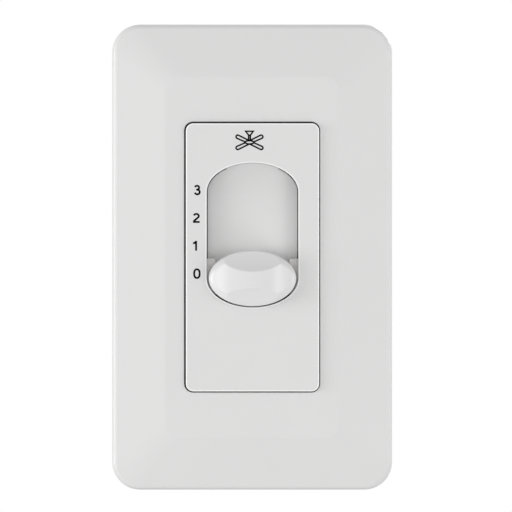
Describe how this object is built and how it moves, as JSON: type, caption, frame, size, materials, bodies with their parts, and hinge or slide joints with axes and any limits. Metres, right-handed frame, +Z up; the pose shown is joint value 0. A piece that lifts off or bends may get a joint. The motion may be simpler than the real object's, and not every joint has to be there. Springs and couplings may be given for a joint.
{
  "type": "fan speed control switch",
  "caption": "Wall-mounted slide switch for ceiling fan speed: bevelled screwless cover plate, raised insert with a round-ended slot, oval sliding knob and rear wiring box.",
  "frame": {"origin": "midway between the two wall-box screws, on the wall plane, which is the back face of the mounting strap", "axes": "+X to the right seen from the front, +Y into the wall along the box screws, +Z up"},
  "size_m": [0.07, 0.0421, 0.1162],
  "materials": {
    "plate_white": "smooth moulded white, soft gloss",
    "insert_white": "smooth moulded white, soft gloss",
    "knob_white": "smooth moulded white, glossy",
    "track_white": "moulded white, satin",
    "saddle_grey": "moulded off-white, satin",
    "frame_plastic": "moulded white, satin",
    "strap_steel": "zinc-plated sheet steel",
    "zinc_screw": "zinc-plated steel",
    "keeper_fibre": "red vulcanised fibre",
    "earth_green": "green dyed plating",
    "carrier_plastic": "moulded acetal, satin",
    "base_plastic": "moulded thermoset, dull",
    "contact_brass": "stamped brass",
    "terminal_brass": "turned brass, bright",
    "spring_steel": "bright spring strip",
    "board_laminate": "bare laminate",
    "capacitor_case": "potted plastic case",
    "resistor_body": "lacquered body",
    "housing_black": "moulded black, fine texture"
  },
  "bodies": {
    "base": {"wall_plate": "plate_white", "sub_plate": "frame_plastic", "plate_screws": "zinc_screw", "mounting_strap": "strap_steel", "box_screws": "zinc_screw", "screw_keepers": "keeper_fibre", "ground_screw": "earth_green", "bezel": "insert_white", "slot_track": "track_white", "switch_base": "base_plastic", "fixed_contacts": "contact_brass", "common_rail": "contact_brass", "circuit_board": "board_laminate", "capacitor_large": "capacitor_case", "capacitor_small": "capacitor_case", "bleed_resistors": "resistor_body", "rear_housing": "housing_black", "housing_screws": "zinc_screw", "terminal_plates": "contact_brass", "terminal_clamps": "zinc_screw", "terminal_screws": "terminal_brass"},
    "slider": {"knob": "knob_white", "slider_saddle": "saddle_grey", "contact_carrier": "carrier_plastic", "wiper_contact": "contact_brass", "detent_spring": "spring_steel"}
  },
  "joints": [
    {"name": "knob_slide", "type": "slide", "parent": "base", "child": "slider", "axis": [0, 0, 1], "range_m": [0, 0.02085]}
  ]
}
